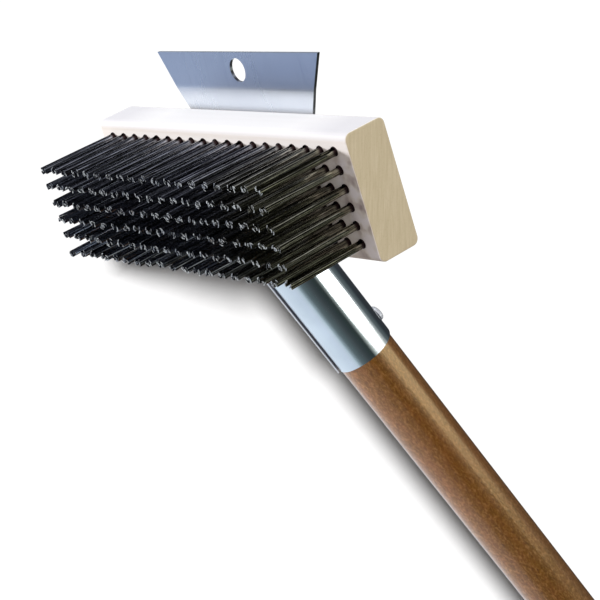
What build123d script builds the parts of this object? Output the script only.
from build123d import *
import math
import os

# Long-handled grill cleaning brush: a hardwood block filled with flat steel
# wire tufts, a steel scraper plate on its back, and a rolled steel socket that
# holds a round wooden handle at a slant to the block.
#
# Object frame: origin on the handle axis at the butt end, +Z along the handle
# towards the head, +X along the block, bristles towards -Y, back towards +Y.
# Head frame: x along the block, v across its width (scraper side negative,
# handle side positive), n through its thickness (bristle face at n = 0, back
# face at n = block_t).
#
# Name endings: _l length, _w width, _t thickness, _h height, _d diameter,
# _r radius, _v, _n and _z places along those axes. Angles are in degrees.

# ---------------------------------------------------------------- dimensions
# block
block_l = 185.7
block_w = 57.15
block_t = 21.7
block_edge_r = 3.2       # rounded long edges
block_end_r = 0.7        # eased end edges

# tuft pattern
cols = 19
rows = 6
col_margin = 9.39        # block end to the centre of the first column
row_margin = 7.49        # scraper-side edge to the centre of the first row
col_pitch = (block_l - 2 * col_margin) / (cols - 1)
row_pitch = 8.24
tuft_hole_d = 4.4
tuft_hole_depth = 12.0

# flat wire: each strip takes the curve of its round hole, so a leg is a C in
# section and a fold is a band of a sphere
wire_t = 0.42
wire_w = 2.6                   # along the curve
wire_radii = (1.80, 1.30, 0.80)  # middle radius of each nested hairpin
wire_half_max = 55.0           # half arc limit, so the innermost fold clears the anchor
wire_free_l = 40.9             # beyond the block
fold_n = 9.9                   # centre of the fold

# straight wire anchor across each fold
anchor_d = 0.6
anchor_l = 4.2

# head to handle
tilt = 21.68             # between the block's width and the handle
cross_v = 47.88          # where the handle axis meets the plane of the back face

# handle
handle_d = 28.5
handle_l = 685.0
handle_past_cross = 16.0  # handle end above the crossing point
butt_r = 5.0
top_chamfer = 0.8
hang_hole_d = 8.0        # runs along Y
hang_hole_z = 30.0
cross_z = handle_l - handle_past_cross

# socket tube
sheet_t = 0.9
tube_inner_r = handle_d / 2 + 0.05
tube_outer_r = tube_inner_r + sheet_t
tube_top_z = cross_z + 17.0    # end of the full round
tube_low_z = cross_z - 55.86
rim_allowance = 1.0            # extra tube below its end, cut to the rim curve
collar_h = 12.0                # above the full round, before the mitre
mitre_gap = 0.6                # between the mitre and the block's handle-side face
seam_turn = -9.0               # seam and handle screw sit this far round the axis
seam_half = 2.6                # half arc of the open seam
lips = {1: (0.06, 17.0), -1: (1.45, 20.0)}  # X side of lip: outward turn, arc it takes
lip_thinning = 0.28            # sheet thickness lost at the lips
lip_steps = 6
# lower rim: (distance from the axis towards the seam, rise above tube_low_z)
rim = (
    (18.5, -0.6), (15.1, -0.45), (14.2, -0.1), (12.5, 0.55), (10.2, 1.0), (3.2, 1.2),
    (-3.4, 1.0), (-8.0, 0.4), (-11.0, 0.0), (-16.5, 0.0),
)
rim_cut_depth = 4.0

# socket tongue and mounting plate
tongue_half = 57.0       # half arc of the tube that runs on as the tongue
tongue_root = 2.0        # length started inside the tube wall
tongue_skin = 0.04       # inset of the tongue's outer face from the tube's
tongue_steps = 6         # loft stations along the slope
tongue_chords = 16       # straight facets across
plate_half_w = 20.5
plate_start_v = 12.0     # at the end of the sloping shoulder
plate_end_v = -23.5
plate_corner_r = 6.0

# scraper
scraper_t = 1.5
scraper_tail_v = 15.0    # tail end on the block's back
scraper_edge_v = -54.7   # working edge
scraper_ref_v = -27.5    # place where the half width is given
scraper_ref_half = 45.9
scraper_flare = 0.5202   # half width gained per mm towards the working edge
scraper_bend_v = -38.2
scraper_bend = 4.0       # away from the bristles
scraper_bend_r = 25.0
scraper_hole_d = 11.0
scraper_hole_v = -46.6
scraper_corner_r = 8.0

# screws; lengths are measured under the head
shank_d = 3.4
screw_point_l = 2.2
screw_head_d = 8.0
screw_head_h = 2.3
screw_rim_h = 0.9        # straight side of the head
recess_l = 4.2           # across the cross recess
recess_w = 0.9
recess_box_h = 2.4       # centred on the top of the head
clear_hole_d = 4.2       # holes in the sheet parts
pilot_d = shank_d + 0.1
pilot_extra = 0.5        # pilot hole beyond the screw point
plate_screw_l = 14.0
handle_screw_l = 16.0
handle_screw_z = cross_z - 48.5
handle_screw_recess_turn = 30
plate_recess_turns = (20, 65, 40, 5)

# derived levels on the back of the block
plate_n = block_t + scraper_t        # underside of the mounting plate
plate_top_n = plate_n + sheet_t

# ---------------------------------------------------------------- frames
cos_tilt = math.cos(math.radians(tilt))
sin_tilt = math.sin(math.radians(tilt))
head_origin = (
    0.0,
    cross_v * sin_tilt - block_t * cos_tilt,
    cross_z + cross_v * cos_tilt + block_t * sin_tilt,
)
head = Location(Plane(origin=head_origin, x_dir=(1, 0, 0), z_dir=(0, cos_tilt, -sin_tilt)))
turn = Rot(0, 0, seam_turn)


def head_to_object(x, v, n):
    """A head-frame point in the object frame."""
    return (
        x,
        head_origin[1] - v * sin_tilt + n * cos_tilt,
        head_origin[2] - v * cos_tilt - n * sin_tilt,
    )


# ---------------------------------------------------------------- patterns
def col_x(col):
    return -block_l / 2 + col_margin + col * col_pitch


def row_v(row):
    return -block_w / 2 + row_margin + row * row_pitch


tuft_spots = [(col_x(j), row_v(i)) for j in range(cols) for i in range(rows)]

# the plate screws sit midway between tuft columns and tuft rows
screw_xs = (-1.5 * col_pitch, 1.5 * col_pitch)
screw_vs = (row_v(0.5), row_v(3.5))
screw_spots = [(x, v) for x in screw_xs for v in screw_vs]


# ---------------------------------------------------------------- helpers
def save(name, shape):
    shape.label = name
    export_step(shape, "parts/%s.step" % name)


def rising_cylinder(diameter, height):
    """Cylinder standing on z = 0."""
    return Cylinder(diameter / 2, height, align=(Align.CENTER, Align.CENTER, Align.MIN))


# ---------------------------------------------------------------- block
def make_block():
    block = Pos(0, 0, block_t / 2) * Box(block_l, block_w, block_t)
    block = fillet(block.edges().filter_by(Axis.X), block_edge_r)
    for end in (-1, 0):
        block = fillet(block.faces().sort_by(Axis.X)[end].edges(), block_end_r)
    tuft_hole = rising_cylinder(tuft_hole_d, tuft_hole_depth + 1)
    pilot_depth = plate_screw_l + pilot_extra - scraper_t - sheet_t
    pilot = rising_cylinder(pilot_d, pilot_depth + 1)
    cuts = [Pos(x, v, -1) * tuft_hole for x, v in tuft_spots]
    cuts += [Pos(x, v, block_t - pilot_depth) * pilot for x, v in screw_spots]
    return head * (block - cuts)


# ---------------------------------------------------------------- wire tufts
def make_hairpin(radius):
    """A curved flat wire folded once round the anchor, at its middle radius."""
    inner = radius - wire_t / 2
    outer = radius + wire_t / 2
    half_arc = min(wire_w / 2 / radius, math.radians(wire_half_max))
    c, s = math.cos(half_arc), math.sin(half_arc)

    def leg_section(side):
        xo, yo = side * outer * c, outer * s
        xi, yi = side * inner * c, inner * s
        with BuildSketch(Plane.XY.offset(fold_n)) as sketch:
            with BuildLine():
                ThreePointArc((xo, -yo), (side * outer, 0), (xo, yo))
                Line((xo, yo), (xi, yi))
                ThreePointArc((xi, yi), (side * inner, 0), (xi, -yi))
                Line((xi, -yi), (xo, -yo))
            make_face()
        return sketch.sketch

    legs = [extrude(leg_section(side), amount=-(fold_n + wire_free_l)) for side in (-1, 1)]
    fold_axis = Axis((0, 0, fold_n), (0, 1, 0))
    fold = revolve(leg_section(1), axis=fold_axis, revolution_arc=-180)
    return legs[0] + legs[1] + fold


def make_bristle_column(col, hairpins):
    return Compound(children=[
        head * Pos(col_x(col), row_v(i), 0) * pin for i in range(rows) for pin in hairpins
    ])


def make_anchors():
    anchor = Pos(0, 0, fold_n) * Rot(90, 0, 0) * Cylinder(anchor_d / 2, anchor_l)
    return Compound(children=[head * Pos(x, v, 0) * anchor for x, v in tuft_spots])


# ---------------------------------------------------------------- scraper
def make_scraper():
    bend = math.radians(scraper_bend)
    sin_bend, cos_bend = math.sin(bend), math.cos(bend)
    bend_start_v = scraper_bend_v + scraper_bend_r * math.tan(bend / 2)
    bend_centre_n = block_t + scraper_bend_r

    def bend_point(radius, angle):
        return (bend_start_v - radius * math.sin(angle), bend_centre_n - radius * math.cos(angle))

    # side profile: the lower face lies on the block, then bends up to the edge
    back_r = scraper_bend_r - scraper_t
    bend_end_v, bend_end_n = bend_point(scraper_bend_r, bend)
    back_bend_end = bend_point(back_r, bend)

    def blade_n(v):
        """Height of the bent blade's lower face at v."""
        return bend_end_n + (bend_end_v - v) / cos_bend * sin_bend

    tail = (scraper_tail_v, block_t)
    bend_start = (bend_start_v, block_t)
    bend_end = (bend_end_v, bend_end_n)
    edge = (scraper_edge_v, blade_n(scraper_edge_v))
    back_edge = (edge[0] + scraper_t * sin_bend, edge[1] + scraper_t * cos_bend)
    back_bend_start = (bend_start_v, plate_n)
    back_tail = (scraper_tail_v, plate_n)
    with BuildSketch(Plane.YZ) as profile:
        with BuildLine():
            Line(tail, bend_start)
            ThreePointArc(bend_start, bend_point(scraper_bend_r, bend / 2), bend_end)
            Line(bend_end, edge)
            Line(edge, back_edge)
            Line(back_edge, back_bend_end)
            ThreePointArc(back_bend_end, bend_point(back_r, bend / 2), back_bend_start)
            Line(back_bend_start, back_tail)
            Line(back_tail, tail)
        make_face()
    strip = extrude(profile.sketch, amount=80, both=True)

    # flared outline, run past the working edge
    def half_at(v):
        return scraper_ref_half + (scraper_ref_v - v) * scraper_flare

    past_edge_v = scraper_edge_v - 5
    wide, narrow = half_at(past_edge_v), half_at(scraper_tail_v)
    with BuildSketch(Plane.XY.offset(block_t - 5)) as outline:
        with BuildLine():
            Polyline(
                (-wide, past_edge_v), (wide, past_edge_v),
                (narrow, scraper_tail_v), (-narrow, scraper_tail_v),
                close=True,
            )
        make_face()
        fillet(outline.vertices().sort_by(Axis.Y)[-2:], scraper_corner_r)
    scraper = strip & extrude(outline.sketch, amount=20)

    # hole square to the bent blade
    hole_plane = Plane(
        origin=(0, scraper_hole_v, blade_n(scraper_hole_v)),
        x_dir=(1, 0, 0),
        z_dir=(0, sin_bend, cos_bend),
    )
    scraper = scraper - Location(hole_plane) * Cylinder(scraper_hole_d / 2, 8)
    for x, v in screw_spots:
        scraper = scraper - Pos(x, v, block_t) * Cylinder(clear_hole_d / 2, 8)
    return head * scraper


# ---------------------------------------------------------------- socket
def tube_point(angle, radius):
    """A point of the tube's section, measured round from the middle of the seam."""
    a = math.radians(angle)
    return (radius * math.sin(a), -radius * math.cos(a))


def lip_run(side, radius, thinning):
    """Points along one face of the sheet from its lip to the round of the tube."""
    height, arc = lips[side]
    points = []
    for k in range(lip_steps + 1):
        q = 1 - k / lip_steps
        lift = height * q * q * (1.6 - 0.6 * q) + thinning * q * q
        points.append(tube_point(side * (seam_half + arc * k / lip_steps), radius + lift))
    return points


def make_tube():
    outer_pos, outer_neg = (lip_run(side, tube_outer_r, 0.0) for side in (1, -1))
    inner_pos, inner_neg = (lip_run(side, tube_inner_r, lip_thinning) for side in (1, -1))
    with BuildSketch() as ring:
        with BuildLine():
            Spline(*outer_pos)
            ThreePointArc(outer_pos[-1], tube_point(180, tube_outer_r), outer_neg[-1])
            Spline(*outer_neg[::-1])
            Line(outer_neg[0], inner_neg[0])
            Spline(*inner_neg)
            ThreePointArc(inner_neg[-1], tube_point(180, tube_inner_r), inner_pos[-1])
            Spline(*inner_pos[::-1])
            Line(inner_pos[0], outer_pos[0])
        make_face()
    start_z = tube_low_z - rim_allowance
    tube = turn * Pos(0, 0, start_z) * extrude(ring.sketch, amount=tube_top_z - start_z)

    # the lower rim
    curve = [(across, tube_low_z + rise) for across, rise in rim]
    floor_z = tube_low_z - rim_cut_depth
    with BuildSketch(Plane(origin=(0, 0, 0), x_dir=(0, -1, 0), z_dir=(-1, 0, 0))) as below_rim:
        with BuildLine():
            Spline(*curve)
            Line(curve[-1], (curve[-1][0], floor_z))
            Line((curve[-1][0], floor_z), (curve[0][0], floor_z))
            Line((curve[0][0], floor_z), curve[0])
        make_face()
    tube = tube - turn * extrude(below_rim.sketch, amount=30, both=True)

    # the seam side runs on to a mitre along the block's handle-side face
    collar = turn * Pos(0, 0, tube_top_z) * extrude(ring.sketch, amount=collar_h)
    collar = collar & (head * Pos(0, block_w / 2 + mitre_gap + 50, 0) * Box(100, 100, 100))
    return tube + collar


def tongue_section(blend, z_drop=0.0, v_run=0.0):
    """Section of the tongue: blend = 0 is the arc of the tube, 1 the flat plate."""
    x_blend = blend * blend * (3 - 2 * blend)

    def face_points(radius, n):
        points = []
        for k in range(tongue_chords + 1):
            u = -1 + 2 * k / tongue_chords
            a = u * math.radians(tongue_half)
            on_tube = Vector(radius * math.sin(a), radius * math.cos(a), tube_top_z - z_drop)
            step = Vector(*head_to_object(u * plate_half_w, plate_start_v - v_run, n)) - on_tube
            points.append(on_tube + Vector(step.X * x_blend, step.Y * blend, step.Z * blend))
        return points

    outer = face_points(tube_outer_r - tongue_skin, plate_top_n)
    inner = face_points(tube_inner_r + 2 * tongue_skin, plate_n)
    return Wire.make_polygon(outer + inner[::-1], close=True)


def make_tongue():
    """Starts inside the tube wall, slopes to the block's back, ends as the flat plate."""
    sections = [tongue_section(0.0, z_drop=tongue_root)]
    sections += [tongue_section(k / tongue_steps) for k in range(tongue_steps + 1)]
    sections.append(tongue_section(1.0, v_run=plate_start_v - plate_end_v))
    tongue = Solid.make_loft(sections, ruled=True)

    # round the two end corners of the plate
    with BuildSketch(Plane.XY.offset(plate_n - 2)) as rounded:
        with Locations((0, plate_end_v + 40)):
            Rectangle(2 * plate_half_w, 80)
        fillet(rounded.vertices().sort_by(Axis.Y)[:2], plate_corner_r)
    keep = extrude(rounded.sketch, amount=sheet_t + 4)
    with BuildSketch(Plane.XY.offset(plate_n - 2)) as end_strip:
        with Locations((0, plate_end_v + plate_corner_r / 2 - 2)):
            Rectangle(2 * plate_half_w + 4, plate_corner_r + 4)
    zone = extrude(end_strip.sketch, amount=sheet_t + 4)
    return tongue - head * (zone - keep)


def make_socket():
    socket = make_tube() + make_tongue()
    hole = Rot(90, 0, 0) * Cylinder(clear_hole_d / 2, 8)
    socket = socket - turn * Pos(0, tube_outer_r, handle_screw_z) * hole
    for x, v in screw_spots:
        socket = socket - head * Pos(x, v, plate_n) * Cylinder(clear_hole_d / 2, 6)
    return socket


# ---------------------------------------------------------------- screws
def make_screw(length):
    """Pan-head cross-recess wood screw, head seat at z = 0, shank towards -z."""
    shank_r, head_r = shank_d / 2, screw_head_d / 2
    flat_r = screw_head_d * 0.2
    crown = (head_r * 0.78, screw_head_h * 0.82)
    with BuildSketch(Plane.XZ) as profile:
        with BuildLine():
            Polyline(
                (0, -length), (shank_r, -length + screw_point_l), (shank_r, 0),
                (head_r, 0), (head_r, screw_rim_h),
            )
            ThreePointArc((head_r, screw_rim_h), crown, (flat_r, screw_head_h))
            Polyline((flat_r, screw_head_h), (0, screw_head_h), (0, -length))
        make_face()
    body = revolve(profile.sketch, axis=Axis.Z)
    cross = Box(recess_l, recess_w, recess_box_h) + Box(recess_w, recess_l, recess_box_h)
    return body - Pos(0, 0, screw_head_h) * cross


def make_plate_screws():
    screw = make_screw(plate_screw_l)
    spots = [(x, v) for v in screw_vs for x in screw_xs]
    return Compound(children=[
        head * Pos(x, v, plate_top_n) * Rot(0, 0, angle) * screw
        for (x, v), angle in zip(spots, plate_recess_turns)
    ])


def make_handle_screw():
    seat = turn * Pos(0, tube_outer_r, handle_screw_z) * Rot(-90, 0, 0)
    return seat * Rot(0, 0, handle_screw_recess_turn) * make_screw(handle_screw_l)


# ---------------------------------------------------------------- handle
def make_handle():
    handle = rising_cylinder(handle_d, handle_l)
    handle = fillet(handle.edges().sort_by(Axis.Z)[0], butt_r)
    handle = chamfer(handle.edges().sort_by(Axis.Z)[-1], top_chamfer)
    handle = handle - Pos(0, 0, hang_hole_z) * Rot(90, 0, 0) * Cylinder(hang_hole_d / 2, 60)
    pilot_end_y = tube_outer_r - handle_screw_l - pilot_extra
    pilot = Rot(-90, 0, 0) * rising_cylinder(pilot_d, 40)
    return handle - turn * Pos(0, pilot_end_y, handle_screw_z) * pilot


# ---------------------------------------------------------------- pieces
os.makedirs("parts", exist_ok=True)
save("brush_block", make_block())
hairpins = [make_hairpin(radius) for radius in wire_radii]
for j in range(cols):
    save("bristle_column_%02d" % (j + 1), make_bristle_column(j, hairpins))
save("tuft_anchors", make_anchors())
save("scraper_blade", make_scraper())
save("handle_socket", make_socket())
save("plate_screws", make_plate_screws())
save("handle_screw", make_handle_screw())
save("handle", make_handle())
